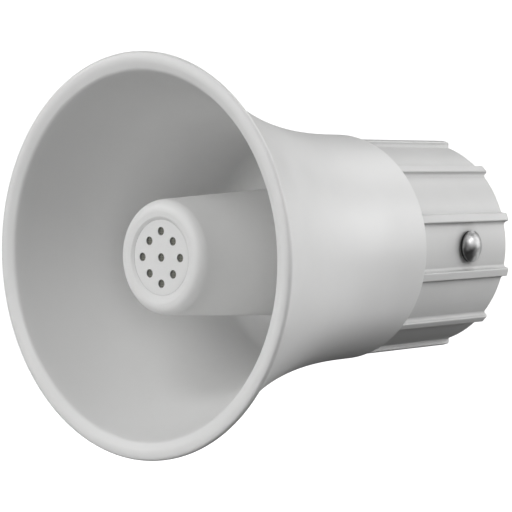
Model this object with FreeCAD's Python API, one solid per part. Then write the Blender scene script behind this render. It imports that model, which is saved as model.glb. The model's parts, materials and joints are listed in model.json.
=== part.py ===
"""A reflex horn loudspeaker of grey moulded plastic: a flared bell, a tapered nose in its mouth,
and a ribbed rear cover that two side bolts hold in a bracket.

Sizes are millimetres. The horn's axis is Y: the mouth faces -Y, +Z is up, and the origin is on
the horn's axis in the plane of the two side bolts. A depth is a distance behind the mouth, and
turned parts are outlines of (radius, depth) points turned about the horn's axis.
"""
import FreeCAD, Part
import math
import os
from FreeCAD import Vector

# ---- driving dimensions ------------------------------------------------------------------
MOUTH_R = 105.0          # outside radius of the lip
BOLT_DEPTH = 210.0       # plane of the side bolts, behind the mouth
BELL_END = 163.8         # rear edge of the bell's skirt
COVER_END = 248.4        # rear rim of the cover
RIM_OVERHANG = 1.6       # how far the ribs pass the rim
PLASTIC = 3.0            # usual moulded wall
GAP = 0.3                # clearance between separate mouldings
RUN = 0.05               # running clearance of a shaft in its hole

# Bell
TAIL_R = 65.0            # outside radius of the skirt
FLARE_DEPTH = 155.0      # where the flare meets the skirt
FLARE_POWER = 2.25
LIP_INNER = (95.6, 1.6, 3.5)     # corner between the lip's face and the inside, and its rounding
LIP_CREST = (101.4, -1.25, 6.0)  # the lip's bulge
LIP_EDGE_FRONT = 0.35
LIP_EDGE_ROUND = 1.8
LIP_DEPTH = 2.4          # back of the lip's thin edge
LIP_GROOVE = 0.8         # groove between the lip and the flare's outside
LIP_BEAD = 6.3           # extra wall behind the lip
INSIDE_FROM = 4.4        # where the inside leaves the lip's rounding
WALL_FROM = 50.0         # from here back the bell has its usual wall
TURN_DEPTH = 140.0       # back wall, where the sound turns forward again
TURN_R = 16.0            # rounding between the back wall and the inside
BACK_WALL = 4.0
BELL_HOLE_R = 34.0
PAD_R = 4.5              # screw pads on the air side of the back wall
PAD_H = 3.5
SOCKET_R = 61.0

# Nose
NOSE_FRONT = 18.0
NOSE_FRONT_R = 30.2
NOSE_END = 124.0
NOSE_END_R = 36.3
NOSE_WALL = 2.5
NOSE_EDGE = 6.0
NOSE_DROP = 1.1          # the nose sits this far below the horn's axis
DISH_R = 24.0            # the front rim falls slightly from here to the face
RIM_FALL = 0.5
DISH_DEPTH = 1.5
FACE_R = 19.8
FACE_T = 1.0
FACE_SLOPE = 1.6         # width of the step down to the face
HOLE_R = 2.2
HOLE_RINGS = ((0.0, 1, 0.0), (13.7, 4, 0.0), (12.1, 4, 45.0))
SEPTUM_DEPTH = 46.0
NOSE_SCREW_RING = 23.0
POST_R = 4.0
POST_BORE_R = 1.8
SPIDER_DEPTHS = (72.0, 108.0)

# Throat and driver
THROAT_FRONT = 62.0
THROAT_FRONT_R = 14.0
THROAT_NECK_DEPTH = 124.0
THROAT_NECK_R = 9.5
THROAT_REAR_R = 15.5
TUBE_R = 17.0
TUBE_FOOT_R = 24.0
FLANGE_R = 46.0
FLANGE_T = 4.0
HOUSING_T = 10.0
COIL_R = 19.0
COIL_T = 0.8
POLE_R = 18.6
TOP_PLATE_T = 4.0
MAGNET_R = 36.0
MAGNET_BORE_R = 23.0
MAGNET_T = 14.0
YOKE_T = 5.0
DRIVER_SCREW_RING = 40.0
SCREW_R = 2.0
SCREW_HOLE_R = 2.05
SCREW_HEAD = (3.8, 2.8)  # radius and height

# Rear cover
COVER_FRONT_R = 60.8
COVER_END_R = 61.0
COVER_WALL = 4.0
COLLAR = (0.5, 2.5)      # height and length of the collar behind the bell's edge
RIB_HEIGHT = 3.0
RIB_WIDTH = 5.0
RIB_ROUND = 0.9          # along a rib's top edges
RIB_END_ROUND = 2.0      # at the rear end of its top
RIB_COUNT = 12
RIB_FIRST = 15.0         # angle of the first rib above the right side bolt
PANEL_DEPTH = 222.0      # inner face of the recessed rear panel
PANEL_T = 4.0
SPIGOT_DEPTH = 150.0
COVER_SCREW_RING = 50.0

# Side bolts: 5/16 in round-head square-neck
HEAD_R = 9.1
HEAD_EDGE = 0.8
HEAD_H = 4.3
BOLT_R = 3.95
NECK_HALF = 4.0
NECK_LENGTH = 4.7
BOLT_LENGTH = 22.0
BOLT_SEAT = 61.1
WASHER_R = 8.9
WASHER_T = 1.2           # rubber washer
SEAT_PAD_R = 8.9         # flat pad on the cover, hidden under the head
BOSS_R = 10.5
BOSS_INNER = 46.0
BOSS_OUTER = 59.0
NUT_T = 6.5

# Rear panel fittings
SELECTOR_Z = 38.0
GLAND_Z = -38.0
CABLE_R = 3.4

# Transformer
CORE_HALF_X = 7.0
CORE_HALF_Z = 17.5
CORE_LENGTH = 29.0
CORE_YOKE = 4.8
LEG_HALF = 4.9
WINDOW_W = 6.2
STRAP_T = 1.2
STRAP_FOOT_Z = 27.0
STRAP_SCREW_Z = 22.8

# ---- places worked out from them ----------------------------------------------------------
ORIGIN = Vector(0, 0, 0)
HORN_AXIS = Vector(0, 1, 0)
FLANGE_BACK = TURN_DEPTH + BACK_WALL + FLANGE_T
TOP_PLATE_DEPTH = FLANGE_BACK + HOUSING_T
MAGNET_DEPTH = TOP_PLATE_DEPTH + TOP_PLATE_T
YOKE_DEPTH = MAGNET_DEPTH + MAGNET_T
PANEL_BACK = PANEL_DEPTH + PANEL_T
RIB_END = COVER_END + RIM_OVERHANG
COVER_INNER_R = COVER_END_R - COVER_WALL
SEAL_DEPTH = SPIGOT_DEPTH + 6.0
CORE_FRONT = PANEL_DEPTH - CORE_LENGTH
HEAD_SEAT = BOLT_SEAT + WASHER_T + GAP


# ---- drawing helpers ----------------------------------------------------------------------
def along(depth):
    """Y of a depth behind the mouth."""
    return depth - BOLT_DEPTH


def flat(radius, depth):
    """A point of a turned part's outline."""
    return Vector(radius, along(depth), 0)


def run(points):
    """Straight edges through (radius, depth) points; a third number rounds that corner."""
    edges = []
    at = flat(*points[0][:2])
    for before, point, after in zip(points, points[1:], points[2:]):
        corner = flat(*point[:2])
        if len(point) == 2:
            leave, arrive = corner, corner
        else:
            back = (flat(*before[:2]) - corner).normalize()
            ahead = (flat(*after[:2]) - corner).normalize()
            half = back.getAngle(ahead) / 2
            reach = point[2] / math.tan(half)
            centre = corner + (back + ahead).normalize() * (point[2] / math.sin(half))
            leave, arrive = corner + back * reach, corner + ahead * reach
            middle = centre + (corner - centre).normalize() * point[2]
        if at.distanceToPoint(leave) > 1e-6:
            edges.append(Part.LineSegment(at, leave).toShape())
        if leave is not arrive:
            edges.append(Part.Arc(leave, middle, arrive).toShape())
        at = arrive
    edges.append(Part.LineSegment(at, flat(*points[-1][:2])).toShape())
    return edges


def smooth(points):
    """One smooth edge through (radius, depth) points."""
    curve = Part.BSplineCurve()
    curve.interpolate([flat(*point) for point in points])
    return curve.toShape()


def dome(rim_r, rim_depth, crown_depth):
    """An arc from a rim to a crown on the axis, where it is square to the axis."""
    height = rim_depth - crown_depth
    sphere_r = (rim_r ** 2 + height ** 2) / (2 * height)
    half = math.asin(rim_r / abs(sphere_r)) / 2
    middle = flat(abs(sphere_r) * math.sin(half), crown_depth + sphere_r * (1 - math.cos(half)))
    return Part.Arc(flat(rim_r, rim_depth), middle, flat(0, crown_depth)).toShape()


def turned(edges):
    """The solid that a closed outline sweeps about the horn's axis."""
    return Part.Face(Part.Wire(edges)).revolve(ORIGIN, HORN_AXIS, 360)


def lathe(*points):
    """A turned solid from its corner points."""
    return turned(run(list(points) + [points[0][:2]]))


def ring(inner_r, outer_r, front, back):
    return lathe((inner_r, front), (outer_r, front), (outer_r, back), (inner_r, back))


def rod(radius, front, back, x=0.0, z=0.0):
    return Part.makeCylinder(radius, back - front, Vector(x, along(front), z), HORN_AXIS)


def block(x, depths, z):
    """A box between two x, two depths and two z."""
    size = (x[1] - x[0], depths[1] - depths[0], z[1] - z[0])
    return Part.makeBox(*size, Vector(x[0], along(depths[0]), z[0]))


def around(shape, count, first=0.0):
    """Copies of a shape, evenly spaced about the horn's axis."""
    copies = []
    for i in range(count):
        copy = shape.copy()
        copy.rotate(ORIGIN, HORN_AXIS, -(first + i * 360.0 / count))
        copies.append(copy)
    return copies


def hexagon(across, front, back, x=0.0, z=0.0):
    """A hexagonal prism along the horn's axis, with its corners turned off."""
    radius = across / math.sqrt(3)
    corners = [Vector(x + radius * math.cos(a), along(front), z + radius * math.sin(a))
               for a in (math.radians(60 * i) for i in range(7))]
    prism = Part.Face(Part.makePolygon(corners)).extrude(HORN_AXIS * (back - front))
    return prism.common(Part.makeSphere(math.hypot(across / 2 * 1.06, (back - front) / 2),
                                        Vector(x, along((front + back) / 2), z)))


def to_side(shape, side):
    """Turn a part drawn along +Y so that it points out along +X (side 1) or -X (side -1)."""
    turned_shape = shape.copy()
    turned_shape.rotate(ORIGIN, Vector(0, 0, 1), -90 * side)
    return turned_shape


def one(shape):
    """The single solid of a boolean result."""
    solids = shape.removeSplitter().Solids
    assert len(solids) == 1, len(solids)
    return solids[0]


# ---- bell ---------------------------------------------------------------------------------
def bell_radius(depth):
    """Outside radius of the flare."""
    rise = max(0.0, (FLARE_DEPTH - depth) / FLARE_DEPTH)
    return TAIL_R + (MOUTH_R - TAIL_R) * rise ** FLARE_POWER


def bell_wall(depth):
    """Thickness of the bell: the lip's bead thins away to the usual wall."""
    return PLASTIC + LIP_BEAD * max(0.0, 1 - depth / WALL_FROM) ** 2


def spread(first, last, count):
    """Evenly spaced depths from the first to the last."""
    return [first + i * (last - first) / (count - 1) for i in range(count)]


def flare(depths, inside):
    """Points along the flare's outside or inside."""
    return [(bell_radius(d) - (bell_wall(d) if inside else 0.0), d) for d in depths]


def bell():
    groove_end = LIP_DEPTH + LIP_GROOVE
    groove_r = bell_radius(groove_end)
    outer_points = flare(spread(groove_end, FLARE_DEPTH - 2, 8), inside=False)
    inner_points = flare(spread(INSIDE_FROM, TURN_DEPTH - TURN_R - 1.6, 11), inside=True)
    lip = run([inner_points[0], LIP_INNER, LIP_CREST, (MOUTH_R, LIP_EDGE_FRONT, LIP_EDGE_ROUND),
               (MOUTH_R, LIP_DEPTH, 0.5), (groove_r, LIP_DEPTH + 0.2), (groove_r, groove_end)])
    skirt = run([outer_points[-1], (TAIL_R, BELL_END, 0.8), (SOCKET_R, BELL_END, 0.6),
                 (SOCKET_R, TURN_DEPTH + BACK_WALL), (BELL_HOLE_R, TURN_DEPTH + BACK_WALL),
                 (BELL_HOLE_R, TURN_DEPTH), (inner_points[-1][0] - 0.8, TURN_DEPTH, TURN_R),
                 inner_points[-1]])
    shell = turned(lip + [smooth(outer_points)] + skirt + [smooth(inner_points)])
    pads, holes = [], []
    for ring_r in (DRIVER_SCREW_RING, COVER_SCREW_RING):
        pads += around(rod(PAD_R, TURN_DEPTH - PAD_H, TURN_DEPTH + 1, ring_r), 4, 45)
        holes += around(rod(SCREW_HOLE_R, TURN_DEPTH - 0.5, TURN_DEPTH + 9, ring_r), 4, 45)
    return one(shell.fuse(pads).cut(holes))


def cover_seal():
    """Rubber O-ring between the bell's socket and the cover's spigot."""
    section_r = 1.1
    return Part.makeTorus(SOCKET_R - 0.05 - section_r, section_r,
                          Vector(0, along(SEAL_DEPTH), 0), HORN_AXIS)


# ---- nose ---------------------------------------------------------------------------------
def nose_radius(depth):
    return NOSE_FRONT_R + (NOSE_END_R - NOSE_FRONT_R) * (depth - NOSE_FRONT) / (NOSE_END - NOSE_FRONT)


def lowered(shape):
    """Bring a part drawn on the horn's axis down to the nose's own axis."""
    shape.translate(Vector(0, 0, -NOSE_DROP))
    return shape


def nose_cup():
    """The reflector: a cup open to the rear, with a septum and a front seat for its face."""
    floor = NOSE_FRONT + DISH_DEPTH
    seat = floor + FACE_T + 0.4
    seat_back = seat + 2.2
    septum_r = nose_radius(SEPTUM_DEPTH) - NOSE_WALL
    septum_back = SEPTUM_DEPTH + PLASTIC
    cup = lathe((nose_radius(NOSE_END), NOSE_END, 1.0), (NOSE_FRONT_R, NOSE_FRONT, NOSE_EDGE),
                (DISH_R, NOSE_FRONT, 1.0), (FACE_R + FACE_SLOPE, NOSE_FRONT + RIM_FALL, 1.0),
                (FACE_R + 0.1, floor - 0.2), (FACE_R + 0.1, seat), (FACE_R - 2.5, seat),
                (FACE_R - 2.5, seat_back), (nose_radius(seat) - NOSE_WALL - 1.5, seat_back),
                (septum_r, SEPTUM_DEPTH), (0, SEPTUM_DEPTH), (0, septum_back + 6),
                (8, septum_back + 2, 8.0), (septum_r, septum_back, 4.0),
                (nose_radius(NOSE_END) - NOSE_WALL, NOSE_END, 0.8))
    bores = around(rod(POST_BORE_R, SEPTUM_DEPTH - 1, SEPTUM_DEPTH + 9, NOSE_SCREW_RING), 3, 90)
    return lowered(one(cup.cut(bores)))


def nose_face():
    """The sunk front disc with its nine sound holes."""
    front = NOSE_FRONT + DISH_DEPTH
    disc = lathe((0, front), (FACE_R, front, 0.3), (FACE_R, front + FACE_T), (0, front + FACE_T))
    holes = []
    for radius, count, first in HOLE_RINGS:
        holes += around(rod(HOLE_R, front - 1, front + FACE_T + 1, radius), count, first)
    return lowered(one(disc.cut(holes)))


def nose_mesh():
    """Fine acoustic mesh disc behind the sound holes."""
    front = NOSE_FRONT + DISH_DEPTH + FACE_T
    return lowered(rod(FACE_R - 0.6, front, front + 0.35))


def nose_screws():
    """Three screws that hold the cup on the spider's posts."""
    head = rod(3.2, SEPTUM_DEPTH - 2.2, SEPTUM_DEPTH, NOSE_SCREW_RING)
    shank = rod(POST_BORE_R - 0.05, SEPTUM_DEPTH - 0.2, SEPTUM_DEPTH + 20, NOSE_SCREW_RING)
    return lowered(Part.makeCompound(around(head.fuse(shank), 3, 90)))


def nose_spider():
    """Three fins on a hub, which carry the nose's posts on the throat tube."""
    front, back = SPIDER_DEPTHS
    hub_bore_r = TUBE_R + 0.02
    hub = ring(hub_bore_r, TUBE_R + 2.5, front, back)
    fin = block((TUBE_R + 1.5, 28.8), SPIDER_DEPTHS, (-1.5, 1.5))
    posts = around(rod(POST_R, SEPTUM_DEPTH + PLASTIC + 1.2, back, NOSE_SCREW_RING), 3, 90)
    bores = around(rod(POST_BORE_R, SEPTUM_DEPTH, SEPTUM_DEPTH + 21, NOSE_SCREW_RING), 3, 90)
    spider = hub.fuse(around(fin, 3, 90) + [lowered(post) for post in posts])
    return one(spider.cut([lowered(bore) for bore in bores]).cut(rod(hub_bore_r, front - 30, back + 12)))


# ---- throat and driver --------------------------------------------------------------------
def throat_tube():
    foot = TURN_DEPTH + BACK_WALL
    seat_r = BELL_HOLE_R - 0.15
    tube = lathe((THROAT_FRONT_R, THROAT_FRONT, 0.8), (TUBE_R, THROAT_FRONT, 0.8), (TUBE_R, 118, 20.0),
                 (TUBE_FOOT_R, TURN_DEPTH, 5.0), (seat_r, TURN_DEPTH), (seat_r, foot),
                 (FLANGE_R, foot), (FLANGE_R, FLANGE_BACK), (18.2, FLANGE_BACK), (18.2, FLANGE_BACK - 3),
                 (THROAT_REAR_R, FLANGE_BACK - 3), (THROAT_NECK_R, THROAT_NECK_DEPTH, 30.0))
    return one(tube.cut(around(rod(SCREW_HOLE_R, foot - 1, FLANGE_BACK + 1, DRIVER_SCREW_RING), 4, 45)))


def phase_plug():
    """Conical plug on three webs in a ring, just in front of the diaphragm."""
    back = FLANGE_BACK
    cone = lathe((0, back - 18), (12.8, back - 1, 2.0), (12.8, back), (0, back + 1.2))
    seat = ring(THROAT_REAR_R, 18.1, back - 2.9, back)
    web = block((11.5, THROAT_REAR_R + 0.8), (back - 2.6, back - 0.4), (-0.8, 0.8))
    return one(cone.fuse([seat] + around(web, 3, 30)))


def driver_housing():
    """Moulded spacer ring between the throat flange and the top plate."""
    body = ring(29.0, FLANGE_R, FLANGE_BACK, TOP_PLATE_DEPTH)
    holes = around(rod(SCREW_HOLE_R, FLANGE_BACK - 1, TOP_PLATE_DEPTH + 1, DRIVER_SCREW_RING), 4, 45)
    return one(body.cut(holes))


def diaphragm():
    """Domed diaphragm; its rim is bonded to the voice coil."""
    rim = FLANGE_BACK + 7.0
    crown = FLANGE_BACK + 2.2
    edge = COIL_R + COIL_T
    film = 0.5
    axis_run = run([(0, crown), (0, crown + film)])
    rim_run = run([(COIL_R, rim), (edge, rim), (edge, rim - film)])
    return turned([dome(edge, rim - film, crown)] + axis_run + [dome(COIL_R, rim, crown + film)] + rim_run)


def voice_coil():
    return ring(COIL_R, COIL_R + COIL_T, FLANGE_BACK + 7.0, TOP_PLATE_DEPTH + TOP_PLATE_T + 1.5)


def surround():
    """Flexible half-roll that centres the diaphragm, clamped at its outer edge."""
    seat = TOP_PLATE_DEPTH
    inner = COIL_R + COIL_T + 0.35
    return lathe((inner, seat - 3.4), (inner + 2.8, seat - 4.8, 2.0), (inner + 5.6, seat - 3.0, 0.4),
                 (inner + 5.8, seat - 1.2, 0.4), (28.6, seat - 1.2), (28.6, seat), (inner + 4.9, seat),
                 (inner + 4.7, seat - 3.0, 0.3), (inner + 2.8, seat - 4.0, 1.2), (inner, seat - 2.8))


def top_plate():
    back = TOP_PLATE_DEPTH + TOP_PLATE_T
    plate = ring(COIL_R + COIL_T + 0.5, FLANGE_R - 1.5, TOP_PLATE_DEPTH, back)
    holes = around(rod(SCREW_HOLE_R, TOP_PLATE_DEPTH - 1, back + 1, DRIVER_SCREW_RING), 4, 45)
    return one(plate.cut(holes))


def magnet():
    back = MAGNET_DEPTH + MAGNET_T
    return lathe((MAGNET_BORE_R, MAGNET_DEPTH, 0.8), (MAGNET_R, MAGNET_DEPTH, 1.2), (MAGNET_R, back, 1.2),
                 (MAGNET_BORE_R, back, 0.8))


def yoke():
    """Back plate and pole piece in one."""
    pole_front = TOP_PLATE_DEPTH - 0.5
    plate_r = MAGNET_R - 2
    back = YOKE_DEPTH + YOKE_T
    return lathe((0, pole_front), (POLE_R, pole_front, 0.8), (POLE_R, YOKE_DEPTH), (plate_r, YOKE_DEPTH),
                 (plate_r, back, 1.5), (0, back))


def screw(ring_r, tip, seat):
    """A pan-head screw along the horn's axis; its head sits behind the seat."""
    head_r, head_h = SCREW_HEAD
    shank = rod(SCREW_R, tip, seat + 0.5, ring_r)
    head = rod(head_r, seat, seat + head_h, ring_r)
    head = head.makeFillet(head_h * 0.45, [head.Edges[0]])
    long_half = head_r * 0.75
    depths = (seat + head_h - 1.2, seat + head_h + 1)
    slot = block((ring_r - long_half, ring_r + long_half), depths, (-0.5, 0.5))
    cross_slot = block((ring_r - 0.5, ring_r + 0.5), depths, (-long_half, long_half))
    return one(shank.fuse(head).cut([slot, cross_slot]))


def driver_screws():
    top = TOP_PLATE_DEPTH + TOP_PLATE_T
    return Part.makeCompound(around(screw(DRIVER_SCREW_RING, TURN_DEPTH, top), 4, 45))


def terminal_strip():
    """Two solder tags on an insulating block, on the top plate's back."""
    base = MAGNET_DEPTH
    block_body = block((-8, 8), (base, base + 3), (37.4, 42.4))
    tags = [block((x - 1.6, x + 1.6), (base + 2.5, base + 9), (39.4, 40.2)) for x in (-4.5, 4.5)]
    return one(block_body.fuse(tags))


# ---- rear cover ---------------------------------------------------------------------------
def cover_radius(depth):
    """Outside radius of the cover, with its moulding draft."""
    travel = (depth - BELL_END) / (COVER_END - BELL_END)
    return COVER_FRONT_R + (COVER_END_R - COVER_FRONT_R) * travel


def rib_section(depth):
    """Outline of a rib at one depth: rounded top corners, and a foot sunk in the wall."""
    base = cover_radius(depth) - 1.0
    top = cover_radius(depth) + RIB_HEIGHT
    half = RIB_WIDTH / 2
    shoulder = top - RIB_ROUND
    level = half - RIB_ROUND
    bend = RIB_ROUND * (1 - math.sqrt(0.5))
    y = along(depth)

    def at(x, z):
        return Vector(x, y, z)

    edges = [
        Part.LineSegment(at(base, half), at(shoulder, half)),
        Part.Arc(at(shoulder, half), at(top - bend, half - bend), at(top, level)),
        Part.LineSegment(at(top, level), at(top, -level)),
        Part.Arc(at(top, -level), at(top - bend, bend - half), at(shoulder, -half)),
        Part.LineSegment(at(shoulder, -half), at(base, -half)),
        Part.LineSegment(at(base, -half), at(base, half)),
    ]
    return Part.Wire([edge.toShape() for edge in edges])


def rib():
    """One long rib, which passes the rim and is rounded at the rear end of its top."""
    body = Part.makeLoft([rib_section(BELL_END + 0.5), rib_section(RIB_END)], True, True)
    top = COVER_END_R + RIB_HEIGHT + 0.1
    return body.common(lathe((0, BELL_END), (top, BELL_END), (top, RIB_END, RIB_END_ROUND), (0, RIB_END)))


def cover_shell():
    """The cover's cup: a spigot, a drafted wall, a recessed panel and an open skirt behind it."""
    spigot_r = SOCKET_R - GAP
    groove_r = SOCKET_R - 2.4
    groove_front = SEAL_DEPTH - 1.3
    groove_back = SEAL_DEPTH + 1.3
    collar_r = COVER_FRONT_R + COLLAR[0]
    collar_end = BELL_END + COLLAR[1]
    wall_from = collar_end + 0.6
    return lathe((COVER_INNER_R, SPIGOT_DEPTH), (spigot_r, SPIGOT_DEPTH, 0.8), (spigot_r, groove_front),
                 (groove_r, groove_front), (groove_r, groove_back), (spigot_r, groove_back),
                 (spigot_r, BELL_END - 0.1), (collar_r, BELL_END + 0.2), (collar_r, collar_end, 0.3),
                 (cover_radius(wall_from), wall_from), (COVER_END_R, COVER_END, 1.2),
                 (COVER_INNER_R, COVER_END, 0.8), (COVER_INNER_R, PANEL_BACK, 2.0), (0, PANEL_BACK),
                 (0, PANEL_DEPTH), (COVER_INNER_R, PANEL_DEPTH, 3.0))


def rear_cover():
    screw_bosses = around(rod(5.2, TOP_PLATE_DEPTH + 9, PANEL_DEPTH + 1, COVER_SCREW_RING), 4, 45)
    side_bosses = [to_side(side_boss(), s) for s in (1, -1)]
    ribs = around(rib(), RIB_COUNT, RIB_FIRST)
    body = cover_shell().fuse(screw_bosses + side_bosses + ribs + tap_ticks())
    cuts = around(rod(SCREW_HOLE_R, SPIGOT_DEPTH, PANEL_BACK + 1, COVER_SCREW_RING), 4, 45)
    cuts += [to_side(side_bolt_hole(), s) for s in (1, -1)]
    cuts.append(rod(4.1, PANEL_DEPTH - 1, PANEL_BACK + 1, 0, SELECTOR_Z))
    cuts.append(rod(6.1, PANEL_DEPTH - 1, PANEL_BACK + 1, 0, GLAND_Z))
    return one(body.cut(cuts))


def side_boss():
    """Boss inside the wall, and a flat pad on its outside for the washer."""
    boss = Part.makeCylinder(BOSS_R, BOSS_OUTER - BOSS_INNER, Vector(0, BOSS_INNER, 0), HORN_AXIS)
    pad = Part.makeCylinder(SEAT_PAD_R, BOLT_SEAT - BOSS_INNER, Vector(0, BOSS_INNER, 0), HORN_AXIS)
    return boss.fuse(pad)


def side_bolt_hole():
    """Round hole for the shank, with a square socket for the neck under the head."""
    shank = Part.makeCylinder(BOLT_R + RUN, BOLT_SEAT + 5, ORIGIN, HORN_AXIS)
    half = NECK_HALF + RUN
    socket_depth = NECK_LENGTH + 0.3
    socket = Part.makeBox(2 * half, socket_depth + 5, 2 * half,
                          Vector(-half, BOLT_SEAT - socket_depth, -half))
    return shank.fuse(socket)


def tap_ticks():
    """Five raised marks round the selector dial."""
    bars = []
    for angle in (-60, -30, 0, 30, 60):
        bar = block((-0.5, 0.5), (PANEL_BACK - 0.5, PANEL_BACK + 0.6), (10.6, 13.2))
        bar.rotate(ORIGIN, HORN_AXIS, 180 + angle)
        bar.translate(Vector(0, 0, SELECTOR_Z))
        bars.append(bar)
    return bars


def cover_screws():
    return Part.makeCompound(around(screw(COVER_SCREW_RING, TURN_DEPTH, PANEL_BACK), 4, 45))


# ---- side bolts ---------------------------------------------------------------------------
def side_bolt():
    """Round-head square-neck bolt, drawn along +Y with its head outermost."""
    foot = BOLT_DEPTH + HEAD_SEAT
    crown = foot + HEAD_H
    sides = run([(0, foot), (HEAD_R, foot, 0.2), (HEAD_R, foot + HEAD_EDGE)])
    head = turned(sides + [dome(HEAD_R, foot + HEAD_EDGE, crown)] + run([(0, crown), (0, foot)]))
    shank = Part.makeCylinder(BOLT_R, BOLT_LENGTH + 0.5, Vector(0, HEAD_SEAT - BOLT_LENGTH, 0), HORN_AXIS)
    neck = Part.makeBox(2 * NECK_HALF, NECK_LENGTH, 2 * NECK_HALF,
                        Vector(-NECK_HALF, HEAD_SEAT - NECK_LENGTH, -NECK_HALF))
    return one(head.fuse([shank, neck]))


def side_washer():
    """Rubber washer between the cover and the bolt's head."""
    outer = Part.makeCylinder(WASHER_R, WASHER_T, Vector(0, BOLT_SEAT, 0), HORN_AXIS)
    half = NECK_HALF + RUN
    return outer.cut(Part.makeBox(2 * half, 3, 2 * half, Vector(-half, BOLT_SEAT - 1, -half)))


def side_nut():
    """Hexagon nut inside the boss, on the bolt's end."""
    front = BOSS_INNER - NUT_T
    nut = hexagon(12.7, BOLT_DEPTH + front, BOLT_DEPTH + BOSS_INNER)
    return nut.cut(Part.makeCylinder(BOLT_R + RUN, 20, Vector(0, front - 5, 0), HORN_AXIS))


# ---- transformer --------------------------------------------------------------------------
def mirrored(x, depths, z):
    """A block and its twin on the other side of Z."""
    return [block(x, depths, sorted((side * z[0], side * z[1]))) for side in (1, -1)]


def transformer_core():
    """Stacked steel laminations with two winding windows."""
    core = block((-CORE_HALF_X, CORE_HALF_X), (CORE_FRONT, PANEL_DEPTH), (-CORE_HALF_Z, CORE_HALF_Z))
    windows = mirrored((-20, 20), (CORE_FRONT + CORE_YOKE, PANEL_DEPTH - CORE_YOKE),
                       (LEG_HALF, LEG_HALF + WINDOW_W))
    return one(core.cut(windows))


def transformer_winding():
    """Bobbin and winding round the core's middle leg."""
    depths = (CORE_FRONT + CORE_YOKE + 0.2, PANEL_DEPTH - CORE_YOKE - 0.2)
    half_x = CORE_HALF_X + 5.5
    half_z = LEG_HALF + WINDOW_W - 0.3
    outer = block((-half_x, half_x), depths, (-half_z, half_z))
    outer = outer.makeFillet(2.0, [e for e in outer.Edges if abs(e.tangentAt(0).y) > 0.9])
    leg_x = CORE_HALF_X + 0.1
    leg_z = LEG_HALF + 0.1
    return one(outer.cut(block((-leg_x, leg_x), (CORE_FRONT, PANEL_DEPTH), (-leg_z, leg_z))))


def transformer_bracket():
    """Sheet-metal strap over the core, with a foot at each end."""
    half = CORE_HALF_X - 1.0
    inner_z = CORE_HALF_Z + 0.1
    outer_z = inner_z + STRAP_T
    top = block((-half, half), (CORE_FRONT - STRAP_T - 0.1, CORE_FRONT - 0.1), (-outer_z, outer_z))
    legs = mirrored((-half, half), (CORE_FRONT - STRAP_T, PANEL_DEPTH), (inner_z, outer_z))
    feet = mirrored((-half, half), (PANEL_DEPTH - STRAP_T, PANEL_DEPTH), (inner_z, STRAP_FOOT_Z))
    holes = [rod(1.6, PANEL_DEPTH - 3, PANEL_DEPTH + 1, 0, side * STRAP_SCREW_Z) for side in (1, -1)]
    return one(top.fuse(legs + feet).cut(holes))


def transformer_screws():
    """Two short screws through the strap's feet into the panel's lugs."""
    screws = []
    for z in (STRAP_SCREW_Z, -STRAP_SCREW_Z):
        shank = rod(1.55, PANEL_DEPTH - 1.3, PANEL_DEPTH, 0, z)
        screws.append(shank.fuse(rod(2.7, PANEL_DEPTH - 3.0, PANEL_DEPTH - STRAP_T, 0, z)))
    return Part.makeCompound(screws)


# ---- tap selector -------------------------------------------------------------------------
def at_selector(shape):
    shape.translate(Vector(0, 0, SELECTOR_Z))
    return shape


def selector_body():
    """Rotary switch body inside the panel, with its threaded bushing through it."""
    case = ring(2.45, 9.5, PANEL_DEPTH - 12.0, PANEL_DEPTH - 1.0)
    bushing = ring(2.45, 4.0, PANEL_DEPTH - 1.5, PANEL_BACK + 2.4)
    tags = around(block((9.0, 10.4), (PANEL_DEPTH - 16, PANEL_DEPTH - 9), (-1.0, 1.0)), 5, 30)
    return at_selector(one(case.fuse([bushing] + tags)))


def selector_gasket():
    return at_selector(ring(4.2, 8.5, PANEL_DEPTH - 1.0, PANEL_DEPTH))


def selector_nut():
    nut = hexagon(11.0, PANEL_BACK, PANEL_BACK + 2.2)
    return at_selector(nut.cut(rod(4.0, PANEL_BACK - 1, PANEL_BACK + 5)))


def selector_knob():
    """Dial with a pointer bar; its shaft turns in the bushing."""
    front = PANEL_BACK + 2.9
    dial = lathe((0, front), (9.0, front, 0.5), (8.4, front + 5.0, 0.8), (0, front + 5.0))
    bar = block((-1.8, 1.8), (front + 4.5, front + 9.0), (-8.0, 8.0))
    ends = [e for e in bar.Edges if abs(e.tangentAt(0).x) > 0.9 and e.CenterOfMass.y > along(front + 8.9)]
    bar = bar.makeFillet(0.8, ends)
    mark = block((-0.4, 0.4), (front + 8.4, front + 10), (-9.0, -2.0))
    shaft = rod(2.4, PANEL_DEPTH - 10.0, front + 0.5)
    return at_selector(one(dial.fuse([bar, shaft]).cut(mark)))


# ---- cable gland --------------------------------------------------------------------------
def at_gland(shape):
    shape.translate(Vector(0, 0, GLAND_Z))
    return shape


def gland_body():
    """Gland body: a tail through the panel, a hexagon, and a spigot for the clamping nut."""
    bore = CABLE_R + 0.8
    tail = ring(bore, 6.0, PANEL_DEPTH - 7.5, PANEL_BACK + 0.5)
    flats = hexagon(15.0, PANEL_BACK, PANEL_BACK + 4.0).cut(rod(bore, PANEL_BACK - 1, PANEL_BACK + 6))
    spigot = lathe((bore, PANEL_BACK + 3.5), (6.0, PANEL_BACK + 3.5), (6.0, PANEL_BACK + 12.0),
                   (5.4, PANEL_BACK + 12.0), (5.4, PANEL_BACK + 6.0), (bore, PANEL_BACK + 6.0))
    return at_gland(one(tail.fuse([flats, spigot])))


def gland_seal():
    """Rubber sleeve that the nut squeezes on to the cable."""
    return at_gland(lathe((CABLE_R, PANEL_BACK + 6.2), (5.3, PANEL_BACK + 6.2), (5.3, PANEL_BACK + 12.5),
                          (4.6, PANEL_BACK + 14.0), (CABLE_R, PANEL_BACK + 14.0)))


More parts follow.
